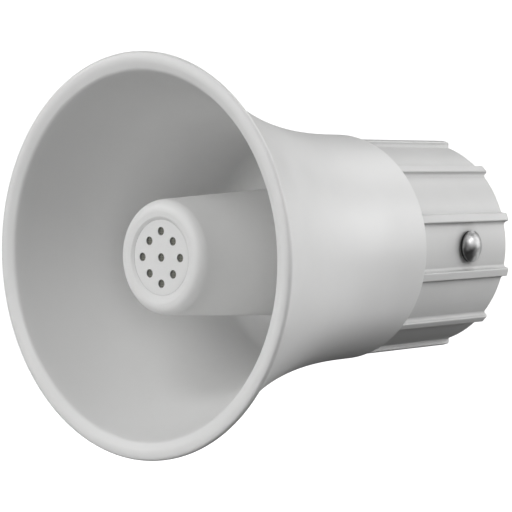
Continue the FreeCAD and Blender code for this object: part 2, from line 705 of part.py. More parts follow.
def gland_locknut():
    nut = hexagon(15.0, PANEL_DEPTH - 4.0, PANEL_DEPTH - 0.5)
    return at_gland(nut.cut(rod(6.02, PANEL_DEPTH - 10, PANEL_BACK)))


def gland_nut():
    """Domed clamping nut with six flats at its foot."""
    foot = PANEL_BACK + 4.4
    skin = lathe((6.05, foot), (8.6, foot, 0.4), (8.6, foot + 7.0), (7.6, foot + 12.0, 3.0),
                 (CABLE_R + 0.6, foot + 12.0, 0.5), (CABLE_R + 0.6, foot + 10.6), (6.05, foot + 10.0))
    flats = hexagon(15.0, foot, foot + 6.0).fuse(rod(7.45, foot + 5.5, foot + 12.5))
    return at_gland(one(skin.common(flats)))


# ---- wiring -------------------------------------------------------------------------------
def lead(points, radius):
    """A wire of straight runs and tangent arcs through a few points."""
    edges = []
    at = points[0]
    for before, corner, after in zip(points, points[1:], points[2:]):
        back = (before - corner).normalize()
        ahead = (after - corner).normalize()
        half = back.getAngle(ahead) / 2
        reach = 0.45 * min(before.distanceToPoint(corner), after.distanceToPoint(corner))
        bend = reach * math.tan(half)
        centre = corner + (back + ahead).normalize() * (bend / math.sin(half))
        leave, arrive = corner + back * reach, corner + ahead * reach
        middle = centre + (corner - centre).normalize() * bend
        edges.append(Part.LineSegment(at, leave).toShape())
        edges.append(Part.Arc(leave, middle, arrive).toShape())
        at = arrive
    edges.append(Part.LineSegment(at, points[-1]).toShape())
    path = Part.Wire(edges)
    start = Part.Circle(points[0], (points[1] - points[0]).normalize(), radius)
    return path.makePipeShell([Part.Wire(start.toShape())], True, True)


def speaker_leads():
    """Two insulated wires from the terminal tags to the transformer's winding."""
    wires = []
    tag_z = 39.8
    winding_z = LEG_HALF + WINDOW_W + 0.5
    for x in (4.5, -4.5):
        wires.append(lead([Vector(x, along(MAGNET_DEPTH + 9.2), tag_z),
                           Vector(x, along(MAGNET_DEPTH + 15), tag_z),
                           Vector(x * 1.5, along(MAGNET_DEPTH + 23), 32.0),
                           Vector(x * 2.0, along(CORE_FRONT + 3.0), 22.0),
                           Vector(x * 2.1, along(CORE_FRONT + 9.0), winding_z)], 0.8))
    return Part.makeCompound(wires)


# ---- write every node ---------------------------------------------------------------------
def nodes():
    made = {
        "bell": bell(), "cover_seal": cover_seal(),
        "nose_cup": nose_cup(), "nose_face": nose_face(), "nose_mesh": nose_mesh(),
        "nose_spider": nose_spider(), "nose_screws": nose_screws(),
        "throat_tube": throat_tube(), "phase_plug": phase_plug(), "driver_housing": driver_housing(),
        "diaphragm": diaphragm(), "voice_coil": voice_coil(), "surround": surround(),
        "top_plate": top_plate(), "magnet": magnet(), "yoke": yoke(),
        "driver_screws": driver_screws(), "terminal_strip": terminal_strip(),
        "speaker_leads": speaker_leads(),
        "rear_cover": rear_cover(), "cover_screws": cover_screws(),
        "transformer_core": transformer_core(), "transformer_winding": transformer_winding(),
        "transformer_bracket": transformer_bracket(), "transformer_screws": transformer_screws(),
        "selector_body": selector_body(), "selector_gasket": selector_gasket(),
        "selector_nut": selector_nut(), "selector_knob": selector_knob(),
        "gland_body": gland_body(), "gland_seal": gland_seal(), "gland_locknut": gland_locknut(),
        "gland_nut": gland_nut(),
    }
    for name, side in (("left", -1), ("right", 1)):
        made["side_bolt_" + name] = to_side(side_bolt(), side)
        made["side_washer_" + name] = to_side(side_washer(), side)
        made["side_nut_" + name] = to_side(side_nut(), side)
    return made


os.makedirs("parts", exist_ok=True)
for node, shape in nodes().items():
    print(node, "solids", len(shape.Solids), "volume", round(shape.Volume), "valid", shape.isValid())
    shape.exportStep("parts/" + node + ".step")
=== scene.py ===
"""Looks of the reflex horn loudspeaker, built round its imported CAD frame.

Everything is in metres. Y is the horn's axis, the mouth faces -Y and +Z is up. Sizes come from the
frame: mm is one millimetre of the design, taken from the bell's width, and a depth is a distance
behind the mouth in those millimetres. Turned pieces are outlines of (radius, depth) points.
"""
import json
import math

import bmesh
import bpy
from mathutils import Matrix, Vector

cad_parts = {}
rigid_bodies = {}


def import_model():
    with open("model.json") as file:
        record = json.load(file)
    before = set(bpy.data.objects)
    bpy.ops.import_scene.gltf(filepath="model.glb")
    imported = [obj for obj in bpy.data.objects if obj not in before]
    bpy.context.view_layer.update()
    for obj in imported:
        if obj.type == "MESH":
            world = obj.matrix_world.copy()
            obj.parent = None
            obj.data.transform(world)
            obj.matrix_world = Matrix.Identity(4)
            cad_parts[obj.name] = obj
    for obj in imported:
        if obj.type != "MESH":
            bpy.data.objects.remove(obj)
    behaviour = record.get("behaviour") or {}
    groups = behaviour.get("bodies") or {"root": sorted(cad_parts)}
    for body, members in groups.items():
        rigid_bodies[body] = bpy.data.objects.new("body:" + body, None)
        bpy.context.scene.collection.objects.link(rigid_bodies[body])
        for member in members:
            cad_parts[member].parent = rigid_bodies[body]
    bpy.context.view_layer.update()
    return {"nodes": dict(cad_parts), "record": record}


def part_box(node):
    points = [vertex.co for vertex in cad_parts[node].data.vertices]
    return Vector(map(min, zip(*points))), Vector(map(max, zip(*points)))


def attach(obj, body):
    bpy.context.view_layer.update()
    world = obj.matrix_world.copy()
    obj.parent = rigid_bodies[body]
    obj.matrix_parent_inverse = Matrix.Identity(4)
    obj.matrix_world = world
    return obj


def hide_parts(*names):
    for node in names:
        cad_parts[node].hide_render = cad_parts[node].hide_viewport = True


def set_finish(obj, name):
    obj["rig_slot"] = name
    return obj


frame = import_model()

# ---- sizes from the frame -------------------------------------------------------------------
MOUTH_R = 105.0
BOLT_DEPTH = 210.0       # the frame's origin lies in the plane of the side bolts
bell_low, bell_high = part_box("bell")
_, cover_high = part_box("rear_cover")
mm = (bell_high.x - bell_low.x) / 2 / MOUTH_R
BELL_END = BOLT_DEPTH + bell_high.y / mm
RIB_END = BOLT_DEPTH + cover_high.y / mm
GAP = 0.3
WALL = 3.0

# Bell
TAIL_R = 65.0
FLARE_DEPTH = 155.0
FLARE_POWER = 2.25
LIP_INNER = (95.6, 1.6, 3.5)     # radius, depth and rounding of a corner
LIP_CREST = (101.4, -1.25, 6.0)
LIP_EDGE_FRONT = 0.35
LIP_EDGE_ROUND = 1.8
LIP_DEPTH = 2.4
LIP_GROOVE = 0.8
LIP_BEAD = 6.3
INSIDE_FROM = 4.4
WALL_FROM = 50.0
FLARE_POINTS = 44
TURN_DEPTH = 140.0       # front of the back wall, where the sound turns
TURN_R = 16.0
TURN_MARGIN = 1.6        # the flare's inside ends this far ahead of the turn
TURN_INSET = 0.8         # and the turn's corner lies this far inside it
BACK_WALL = 4.0
SOCKET_R = 61.0
BELL_HOLE_R = 34.0

# Nose
NOSE_FRONT = 18.0
NOSE_FRONT_R = 30.2
NOSE_END = 124.0
NOSE_END_R = 36.3
NOSE_EDGE = 6.0
NOSE_WALL = 2.5
NOSE_DROP = 1.1          # the nose sits this far below the horn's axis
DISH_R = 24.0
RIM_FALL = 0.5
DISH_DEPTH = 1.5
FACE_R = 19.8
FACE_T = 1.0
FACE_SLOPE = 1.6
FACE_FIT = 0.03
FACE_EDGE = 0.12         # rounding of the face's outer edge and of its holes
MESH_ROOM = 0.4          # room behind the face for its mesh
LEDGE_WIDTH = 2.5
LEDGE_T = 2.2
HOLE_R = 2.2
HOLE_RINGS = ((0.0, 1, 0.0), (13.7, 4, 0.0), (12.1, 4, 45.0))     # radius, count, first angle
SEPTUM_DEPTH = 46.0      # the wall that closes the nose

# Rear cover
RIM_OVERHANG = 1.6
COVER_END = RIB_END - RIM_OVERHANG
RIB_HEIGHT = 3.0
COVER_END_R = 61.0
COVER_FRONT_R = COVER_END_R - 0.2
COVER_INNER_R = COVER_END_R - 4.0
COLLAR_HEIGHT = 0.5
COLLAR_LENGTH = 2.5
RIB_WIDTH = 5.0
RIB_ROOT = 2.0           # fillet at a rib's foot
RIB_CORNER = 0.8         # rounding along a rib's top
RIM_ROUND = 1.2
RIB_END_ROUND = 2.0
RIB_COUNT = 12
RIB_FIRST = 15.0         # degrees from +X to the first rib
SPIGOT_DEPTH = 150.0
PANEL_DEPTH = 222.0
PANEL_BACK = 226.0
CENTRE_R = 2.0           # the panel's outline stops here, short of its middle point
COVER_SCREW_RING = 50.0
SCREW_R = 2.0
SCREW_HOLE_R = 2.05
SCREW_HEAD_R = 3.8
SCREW_HEAD_H = 2.8
CROSS_HALF = 0.5         # half the width of the cross recess
CROSS_DEPTH = 1.2
CROSS_SHARE = 0.7        # its reach, as a share of the head's radius

# Selector dial
SELECTOR_Z = 38.0
SELECTOR_BORE_R = 4.1
DIAL_FRONT = PANEL_BACK + 2.9
DIAL_R = 9.0
DIAL_TOP_R = 8.4
DIAL_HEIGHT = 5.0
SPINDLE_R = 2.4
SPINDLE_LENGTH = 10.0    # inside the panel
POINTER_HALF_WIDTH = 1.8
POINTER_HALF_LENGTH = 8.0
POINTER_HEIGHT = 4.0
POINTER_SUNK = 0.5
GROOVE_HALF = 0.4
GROOVE_DEPTH = 0.6
GROOVE_FROM = 2.0        # below the dial's centre
TICK_ANGLES = (-60, -30, 0, 30, 60)
TICK_HALF = 0.5
TICK_RAISE = 0.55
TICK_FROM = 10.6
TICK_TO = 13.2

# Cable gland's nut
GLAND_Z = -38.0
GLAND_BORE_R = 6.1
CABLE_R = 3.4
CABLE_ROOM = 0.6
NUT_FOOT = PANEL_BACK + 4.4
NUT_ACROSS = 15.0
NUT_CORNER_R = 8.5       # the hexagon's corners are turned off here
NUT_FLATS = 5.8          # length of the flats
NUT_BEVEL = 0.4
NUT_FLAT_BEVEL = 0.3
NUT_THREAD_R = 6.1
NUT_DOME_R = 7.4
NUT_LENGTH = 12.0
NUT_POINTS = 72
FLAT_TURN = math.radians(60)

# Side bolts
HEAD_R = 9.1
HEAD_EDGE = 0.8
HEAD_H = 4.3
DOME_STEPS = 20
BOLT_R = 3.95
NECK_HALF = 4.0
NECK_LENGTH = 4.7
NECK_ROOM = 0.05
BOLT_SEAT = 61.1
SEAT_PAD_R = 8.9
WASHER_R = 8.9
WASHER_T = 1.2

ON_AXIS = 1e-6           # a radius under this is a point on the axis


def along(depth):
    """Y of a depth behind the mouth."""
    return (depth - BOLT_DEPTH) * mm


# ---- mesh helpers ---------------------------------------------------------------------------
def keep_normals(obj):
    """Shade by the larger faces, so that small rounded edges stay soft."""
    even = obj.modifiers.new("even_normals", "WEIGHTED_NORMAL")
    even.keep_sharp = True


def finish_mesh(name, bm, body, slot, smooth_angle=40.0):
    """An object from a bmesh, smooth-shaded up to an angle, riding on a body."""
    bmesh.ops.recalc_face_normals(bm, faces=bm.faces)
    mesh = bpy.data.meshes.new(name)
    bm.to_mesh(mesh)
    bm.free()
    shade_smooth(mesh, smooth_angle)
    obj = bpy.data.objects.new(name, mesh)
    bpy.context.scene.collection.objects.link(obj)
    keep_normals(obj)
    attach(obj, body)
    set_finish(obj, slot)
    return obj


def rounded(points, steps=6):
    """Points of an outline whose third number, where there is one, rounds that corner."""
    line = [points[0][:2]]
    for before, point, after in zip(points, points[1:], points[2:]):
        if len(point) == 2:
            line.append(point)
            continue
        corner = Vector(point[:2])
        back = (Vector(before[:2]) - corner).normalized()
        ahead = (Vector(after[:2]) - corner).normalized()
        half = back.angle(ahead) / 2
        centre = corner + (back + ahead).normalized() * (point[2] / math.sin(half))
        start = corner + back * (point[2] / math.tan(half)) - centre
        end = corner + ahead * (point[2] / math.tan(half)) - centre
        for i in range(steps + 1):
            spoke = start.slerp(end, i / steps)
            line.append(tuple(centre + spoke * point[2]))
    line.append(points[-1][:2])
    return line


def rings_to_faces(bm, rings, closed):
    """Quads between rings of vertices; a ring of one vertex is a pole."""
    pairs = list(zip(rings, rings[1:]))
    if closed:
        pairs.append((rings[-1], rings[0]))
    for a, b in pairs:
        count = max(len(a), len(b))
        for i in range(count):
            corners = [a[i % len(a)], a[(i + 1) % len(a)], b[(i + 1) % len(b)], b[i % len(b)]]
            unique = [v for k, v in enumerate(corners) if v not in corners[:k]]
            bm.faces.new(unique)


def horn_ring(bm, radius, depth, segments, place):
    """A circle of vertices about the Y axis, or a single one on the axis."""
    if radius < ON_AXIS:
        return [bm.verts.new(place(Vector((0, depth, 0))))]
    ring = []
    for i in range(segments):
        angle = 2 * math.pi * i / segments
        ring.append(bm.verts.new(place(Vector((radius * math.cos(angle), depth, radius * math.sin(angle))))))
    return ring


def turn_into(bm, outline, segments, place):
    """Turn an outline about the Y axis into a bmesh; place puts each point where it goes."""
    rings = [horn_ring(bm, radius, depth, segments, place) for radius, depth in outline]
    rings_to_faces(bm, rings, closed=outline[0][0] > ON_AXIS or outline[-1][0] > ON_AXIS)


def on_horn(point):
    """From (x, depth, z) in design millimetres to the frame."""
    return Vector((point.x * mm, along(point.y), point.z * mm))


def moved(x, z):
    """A place function for pieces beside the horn's axis."""
    return lambda point: on_horn(point + Vector((x, 0, z)))


def side_place(side):
    """Place function for pieces drawn along +Y from the horn's axis, pointing to +X or -X."""
    return lambda point: Vector((side * point.y, -side * point.x, point.z)) * mm


def turned_piece(name, outline, body, slot, segments, place=on_horn):
    """A finished object turned from one outline."""
    bm = bmesh.new()
    turn_into(bm, outline, segments, place)
    return finish_mesh(name, bm, body, slot)


def soft_box(bm, low, high, bevel, place, turn=None):
    """A box with rounded edges, given by two corners in design millimetres."""
    made = bmesh.ops.create_cube(bm, size=1.0)["verts"]
    low, high = Vector(low), Vector(high)
    for vert in made:
        share = vert.co + Vector((0.5, 0.5, 0.5))
        vert.co = Vector(low[i] + (high[i] - low[i]) * share[i] for i in range(3))
    edges = list({edge for vert in made for edge in vert.link_edges})
    result = bmesh.ops.bevel(bm, geom=edges, offset=bevel, segments=3, profile=0.5, affect="EDGES")
    verts = {v for face in result["faces"] for v in face.verts} | {v for v in made if v.is_valid}
    for vert in verts:
        point = turn @ vert.co if turn else vert.co
        vert.co = place(point)


def shade_smooth(mesh, smooth_angle):
    """Smooth shading, with a sharp edge wherever two faces meet at more than an angle."""
    mesh.polygons.foreach_set("use_smooth", [True] * len(mesh.polygons))
    mesh.set_sharp_from_angle(angle=math.radians(smooth_angle))


def combine(obj, tools, operation):
    """Add closed tool meshes to an object's mesh (UNION) or cut them out of it (DIFFERENCE)."""
    shading = obj.modifiers.get("even_normals")
    obj.modifiers.remove(shading)
    for tool in tools:
        step = obj.modifiers.new("combine", "BOOLEAN")
        step.operation = operation
        step.solver = "EXACT"
        step.object = tool
    bpy.context.view_layer.update()
    graph = bpy.context.evaluated_depsgraph_get()
    mesh = bpy.data.meshes.new_from_object(obj.evaluated_get(graph))
    obj.modifiers.clear()
    obj.data = mesh
    shade_smooth(mesh, 35.0)
    keep_normals(obj)
    for tool in tools:
        bpy.data.objects.remove(tool)


def tool_object(bm):
    """A closed mesh for combine."""
    bmesh.ops.recalc_face_normals(bm, faces=bm.faces)
    mesh = bpy.data.meshes.new("tool")
    bm.to_mesh(mesh)
    bm.free()
    obj = bpy.data.objects.new("tool", mesh)
    bpy.context.scene.collection.objects.link(obj)
    return obj


def rod_tool(radius, front, back, place, segments=64):
    """A round rod along the Y axis of its place."""
    bm = bmesh.new()
    turn_into(bm, [(0.0, front), (radius, front), (radius, back), (0.0, back)], segments, place)
    return tool_object(bm)


def box_tool(low, high, bevel, place):
    """A soft-edged box for combine."""
    bm = bmesh.new()
    soft_box(bm, low, high, bevel, place)
    return tool_object(bm)


# ---- bell -----------------------------------------------------------------------------------
def bell_radius(depth):
    """Outer radius of the flare."""
    rise = max(0.0, (FLARE_DEPTH - depth) / FLARE_DEPTH)
    return TAIL_R + (MOUTH_R - TAIL_R) * rise ** FLARE_POWER


def bell_wall(depth):
    """Thickness of the flare's wall, which grows towards the lip."""
    return WALL + LIP_BEAD * max(0.0, 1 - depth / WALL_FROM) ** 2


def flare(first, last, inside):
    """Outline points along the flare, on its inside or its outside."""
    depths = [first + (last - first) * i / (FLARE_POINTS - 1) for i in range(FLARE_POINTS)]
    return [(bell_radius(d) - (bell_wall(d) if inside else 0.0), d) for d in depths]


def make_bell():
    """Bell with its rolled lip, the groove behind it, and the back wall where the sound turns."""
    groove_end = LIP_DEPTH + LIP_GROOVE
    outer = flare(groove_end, FLARE_DEPTH - 2, inside=False)
    inner = flare(INSIDE_FROM, TURN_DEPTH - TURN_R - TURN_MARGIN, inside=True)
    groove_r = outer[0][0]
    lip = rounded([inner[0], LIP_INNER, LIP_CREST, (MOUTH_R, LIP_EDGE_FRONT, LIP_EDGE_ROUND),
                   (MOUTH_R, LIP_DEPTH, 0.5), (groove_r, LIP_DEPTH + 0.2), outer[0]], 10)
    turn_r = inner[-1][0] - TURN_INSET
    skirt = rounded([outer[-1], (TAIL_R, BELL_END, 0.8), (SOCKET_R, BELL_END, 0.6),
                     (SOCKET_R, TURN_DEPTH + BACK_WALL), (BELL_HOLE_R, TURN_DEPTH + BACK_WALL),
                     (BELL_HOLE_R, TURN_DEPTH), (turn_r, TURN_DEPTH, TURN_R), inner[-1]], 10)
    outline = lip + outer[1:] + skirt[1:] + inner[-2:0:-1]
    bell = turned_piece("bell_moulding", outline, "housing", "grey_plastic", segments=288)
    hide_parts("bell")


# ---- nose -----------------------------------------------------------------------------------
def nose_radius(depth):
    """Outer radius of the nose, which widens towards the rear."""
    return NOSE_FRONT_R + (NOSE_END_R - NOSE_FRONT_R) * (depth - NOSE_FRONT) / (NOSE_END - NOSE_FRONT)


def make_nose():
    """Reflector cup with its rounded front edge and the shallow dish that holds the face."""
    floor = NOSE_FRONT + DISH_DEPTH
    seat = floor + FACE_T + MESH_ROOM
    ledge_r = FACE_R - LEDGE_WIDTH
    ledge_end = seat + LEDGE_T
    bore_r = FACE_R + FACE_FIT
    septum_r = nose_radius(SEPTUM_DEPTH) - NOSE_WALL
    septum_back = SEPTUM_DEPTH + WALL
    outline = rounded([
        (NOSE_END_R - NOSE_WALL, NOSE_END), (NOSE_END_R, NOSE_END, 1.0),
        (NOSE_FRONT_R, NOSE_FRONT, NOSE_EDGE), (DISH_R, NOSE_FRONT, 1.0),
        (FACE_R + FACE_SLOPE, NOSE_FRONT + RIM_FALL, 1.0),
        (bore_r, floor), (bore_r, seat), (ledge_r, seat), (ledge_r, ledge_end),
        (nose_radius(seat) - NOSE_WALL - 1.5, ledge_end), (septum_r, SEPTUM_DEPTH), (0, SEPTUM_DEPTH)], 12)
    back = rounded([
        (0, septum_back + 6), (8, septum_back + 2, 8.0), (septum_r, septum_back, 4.0),
        (NOSE_END_R - NOSE_WALL - 0.05, NOSE_END - 0.5)])
    bm = bmesh.new()
    rings = [horn_ring(bm, radius, depth, 192, moved(0, -NOSE_DROP)) for radius, depth in outline + back]
    rings_to_faces(bm, rings[:len(outline)], closed=False)
    rings_to_faces(bm, rings[len(outline):] + rings[:1], closed=False)
    nose = finish_mesh("nose_moulding", bm, "housing", "grey_plastic")
    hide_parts("nose_cup")


def circle_spline(curve, radius, x=0.0, z=0.0, points=48):
    """A closed polygon in the curve's own plane."""
    spline = curve.splines.new("POLY")
    spline.points.add(points - 1)
    for i, point in enumerate(spline.points):
        angle = 2 * math.pi * i / points
        point.co = ((x + radius * math.cos(angle)) * mm, (z + radius * math.sin(angle)) * mm, 0, 1)
    spline.use_cyclic_u = True


def make_nose_face():
    """Front disc with nine sound holes, all edges softly rounded."""
    curve = bpy.data.curves.new("face_plate", "CURVE")
    curve.dimensions = "2D"
    curve.fill_mode = "BOTH"
    curve.extrude = (FACE_T / 2 - FACE_EDGE) * mm
    curve.bevel_depth = FACE_EDGE * mm
    curve.bevel_resolution = 3
    circle_spline(curve, FACE_R - FACE_EDGE, points=144)
    for ring_r, count, first in HOLE_RINGS:
        for i in range(count):
            angle = math.radians(first + i * 360 / count)
            circle_spline(curve, HOLE_R + FACE_EDGE, ring_r * math.cos(angle), ring_r * math.sin(angle))
    flat_plate = bpy.data.objects.new("face_plate", curve)
    bpy.context.scene.collection.objects.link(flat_plate)
    bpy.context.view_layer.update()
    graph = bpy.context.evaluated_depsgraph_get()
    mesh = bpy.data.meshes.new_from_object(flat_plate.evaluated_get(graph))
    bpy.data.objects.remove(flat_plate)
    middle = NOSE_FRONT + DISH_DEPTH + FACE_T / 2
    centre = Matrix.Translation((0, along(middle), -NOSE_DROP * mm))
    mesh.transform(centre @ Matrix.Rotation(math.radians(90), 4, "X"))
    bm = bmesh.new()
    bm.from_mesh(mesh)
    bmesh.ops.remove_doubles(bm, verts=bm.verts, dist=1e-6)
    face = finish_mesh("nose_plate", bm, "housing", "grey_plastic", smooth_angle=35)
    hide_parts("nose_face")


# ---- rear cover -----------------------------------------------------------------------------
def cover_radius(depth):
    """Outer radius of the cover's wall between its ribs."""
    travel = (depth - BELL_END) / (COVER_END - BELL_END)
    return COVER_FRONT_R + (COVER_END_R - COVER_FRONT_R) * travel


def rib_profile():
    """(offset, share of height) points across one rib: root fillet, side and rounded top corner."""
    half = RIB_WIDTH / 2
    steps = 6
    angles = [math.radians(90 * i / steps) for i in range(steps + 1)]
    side = []
    for a in angles:
        side.append((half + RIB_ROOT * (1 - math.sin(a)), RIB_ROOT * (1 - math.cos(a))))
    for a in angles:
        side.append((half - RIB_CORNER * (1 - math.cos(a)), RIB_HEIGHT - RIB_CORNER * (1 - math.sin(a))))
    profile = [(-t, h) for t, h in side] + [(0.0, RIB_HEIGHT)] + side[::-1]
    return [(t, h / RIB_HEIGHT) for t, h in profile]


def cover_section():
    """One turn round the cover as (angle, offset, share): rib points, then the panel to the next."""
    profile = rib_profile()
    panel_steps = 10
    turn = []
    pitch = 360.0 / RIB_COUNT
    edge = math.degrees(math.asin(profile[-1][0] / COVER_FRONT_R))
    for k in range(RIB_COUNT):
        centre = RIB_FIRST + k * pitch
        turn += [(centre, offset, share) for offset, share in profile]
        for i in range(1, panel_steps):
            turn.append((centre + edge + (pitch - 2 * edge) * i / panel_steps, 0.0, 0.0))
    return turn


def cover_ring(bm, turn, wall, top):
    """One ring of the cover, through (radius, depth) of the wall and of the ribs' tops."""
    ring = []
    for angle, offset, share in turn:
        radius = wall[0] + (top[0] - wall[0]) * share
        depth = wall[1] + (top[1] - wall[1]) * share
        across = offset * wall[0] / COVER_FRONT_R
        out = math.sqrt(radius ** 2 - across ** 2)
        a = math.radians(angle)
        x = out * math.cos(a) - across * math.sin(a)
        z = out * math.sin(a) + across * math.cos(a)
        ring.append(bm.verts.new(on_horn(Vector((x, depth, z)))))
    return ring


def collar_pairs():
    """(wall, top) outline pairs along the collar, where the ribs start."""
    collar_r = COVER_FRONT_R + COLLAR_HEIGHT
    collar_end = BELL_END + COLLAR_LENGTH
    start = BELL_END + 0.5
    top_r = COVER_FRONT_R + RIB_HEIGHT
    walls = [(collar_r, start - 0.1), (collar_r, start), (collar_r, start + 0.2),
             (collar_r, collar_end - 0.3), (collar_r - 0.1, collar_end)]
    tops = [(collar_r, start - 0.1), (top_r - 0.2, start), (top_r, start + 0.2),
            (top_r, collar_end - 0.3), (top_r, collar_end)]
    return list(zip(walls, tops))


def rib_pairs():
    """(wall, top) outline pairs from the collar to where the rim and the ribs' ends round off."""
    first = BELL_END + COLLAR_LENGTH + 0.6
    steps = 12
    pairs = []
    for i in range(steps + 1):
        wall_depth = first + (COVER_END - RIM_ROUND - first) * i / steps
        top_depth = first + (RIB_END - RIB_END_ROUND - first) * i / steps
        wall_r = cover_radius(wall_depth)
        pairs.append(((wall_r, wall_depth), (wall_r + RIB_HEIGHT, top_depth)))
    return pairs


def rim_pairs():
    """(wall, top) outline pairs round the rim, and down the flat ends of the ribs that pass it."""
    steps = 8
    top_r = COVER_END_R + RIB_HEIGHT
    foot_r = COVER_END_R - 1.0
    pairs = []
    for i in range(1, steps + 1):
        angle = math.radians(90 * i / steps)
        fall = 1 - math.cos(angle)
        reach = 1 - math.sin(angle)
        wall = (COVER_END_R - RIM_ROUND * fall, COVER_END - RIM_ROUND * reach)
        top = (top_r - RIB_END_ROUND * fall, RIB_END - RIB_END_ROUND * reach)
        pairs.append((wall, top))
    feet = ((foot_r + 0.3, RIB_END), (foot_r, RIB_END - 0.3), (foot_r - 0.1, COVER_END))
    for i, top in enumerate(feet, start=1):
        apart = 0.05 + 0.002 * i     # keeps these flat rings from lying on each other
        pairs.append(((COVER_END_R - RIM_ROUND - apart, COVER_END), top))
    return pairs


def cover_screw_places():
    """Place functions at the four corners of the recessed panel."""
    places = []
    for k in range(4):
        angle = math.radians(45 + 90 * k)
        places.append(moved(COVER_SCREW_RING * math.cos(angle), COVER_SCREW_RING * math.sin(angle)))
    return places


def tick_tool(angle):
    """Raised mark below the selector dial, at an angle from straight down."""
    turn = Matrix.Rotation(math.radians(180 - angle), 3, "Y")
    bm = bmesh.new()
    low = (-TICK_HALF, PANEL_BACK - 0.5, TICK_FROM)
    high = (TICK_HALF, PANEL_BACK + TICK_RAISE, TICK_TO)
    soft_box(bm, low, high, 0.15, moved(0, SELECTOR_Z), turn)
    return tool_object(bm)


def cover_surface():
    """The cover's whole surface: socket and inside, ribbed outside, rim and recessed panel."""
    spigot_r = SOCKET_R - GAP
    inside = rounded([(CENTRE_R, PANEL_DEPTH), (COVER_INNER_R, PANEL_DEPTH, 3.0),
                      (COVER_INNER_R, SPIGOT_DEPTH, 0.5), (spigot_r, SPIGOT_DEPTH, 0.8),
                      (spigot_r, BELL_END - 0.2)])
    recess = rounded([(COVER_END_R - 1.4, COVER_END), (COVER_INNER_R, COVER_END, 0.8),
                      (COVER_INNER_R, PANEL_BACK, 2.0), (CENTRE_R, PANEL_BACK)])
    pairs = [(point, point) for point in inside]
    pairs += collar_pairs() + rib_pairs() + rim_pairs()
    pairs += [(point, point) for point in recess]
    turn = cover_section()
    bm = bmesh.new()
    rings = [[bm.verts.new(on_horn(Vector((0, PANEL_DEPTH, 0))))]]
    rings += [cover_ring(bm, turn, wall, top) for wall, top in pairs]
    rings.append([bm.verts.new(on_horn(Vector((0, PANEL_BACK, 0))))])
    rings_to_faces(bm, rings, closed=False)
    return bm


def panel_hole(radius, place):
    """A rod through the recessed panel."""
    return rod_tool(radius, PANEL_DEPTH - 1, PANEL_BACK + 1, place)


def neck_socket(side):
    """The square hole that keeps a side bolt from turning."""
    half = NECK_HALF + NECK_ROOM
    low = (-half, COVER_INNER_R - 1, -half)
    high = (half, BOLT_SEAT + 1, half)
    return box_tool(low, high, 0.2, side_place(side))


def make_rear_cover():
    """Ribbed cover: drafted wall, rounded rib ends past the rim, deep skirt and recessed panel."""
    cover = finish_mesh("cover_moulding", cover_surface(), "housing", "cover_plastic", smooth_angle=35)
    pads = [rod_tool(SEAT_PAD_R, COVER_INNER_R + 1, BOLT_SEAT, side_place(side), 96) for side in (1, -1)]
    combine(cover, pads + [tick_tool(angle) for angle in TICK_ANGLES], "UNION")
    holes = [panel_hole(SCREW_HOLE_R, place) for place in cover_screw_places()]
    holes.append(panel_hole(SELECTOR_BORE_R, moved(0, SELECTOR_Z)))
    holes.append(panel_hole(GLAND_BORE_R, moved(0, GLAND_Z)))
    holes += [neck_socket(side) for side in (1, -1)]
    combine(cover, holes, "DIFFERENCE")
    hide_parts("rear_cover")


# ---- side bolts -----------------------------------------------------------------------------
def make_side_bolt(name, side):
    """Round head, square neck and shank; the head's dome is a true spherical cap."""
    low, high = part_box("side_bolt_" + name)
    crown = max(abs(low.x), abs(high.x)) / mm
    seat = crown - HEAD_H
    tip = min(abs(low.x), abs(high.x)) / mm
    dome_h = HEAD_H - HEAD_EDGE
    sphere_r = (HEAD_R ** 2 + dome_h ** 2) / (2 * dome_h)
    dome_angle = math.asin(HEAD_R / sphere_r)
    dome = []
    for i in range(DOME_STEPS - 1):
        angle = dome_angle * i / DOME_STEPS
        dome.append((sphere_r * math.sin(angle), crown - sphere_r * (1 - math.cos(angle))))
    shoulder = rounded([dome[-1], (HEAD_R, seat + HEAD_EDGE, 0.3), (HEAD_R, seat, 0.2), (BOLT_R, seat)])
    shank = [(BOLT_R, tip + 0.6), (BOLT_R - 0.6, tip), (0.0, tip)]
    bm = bmesh.new()
    turn_into(bm, dome[:-1] + shoulder + shank, 96, side_place(side))
    neck_low = (-NECK_HALF, seat - NECK_LENGTH, -NECK_HALF)
    neck_high = (NECK_HALF, seat + 0.2, NECK_HALF)
    soft_box(bm, neck_low, neck_high, 0.3, side_place(side))
    bolt = finish_mesh("bolt_" + name, bm, "side_bolt_" + name, "polished_steel")
    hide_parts("side_bolt_" + name)


def make_side_washer(name, side):
    """Rubber washer with soft edges, round the bolt's square neck."""
    bore = NECK_HALF * math.sqrt(2) + 0.1
    back = BOLT_SEAT + WASHER_T
    outline = rounded([(bore, back), (WASHER_R, back, 0.3), (WASHER_R, BOLT_SEAT, 0.3), (bore, BOLT_SEAT)])
    washer = turned_piece("washer_" + name, outline, "housing", "rubber", 96, side_place(side))
    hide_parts("side_washer_" + name)


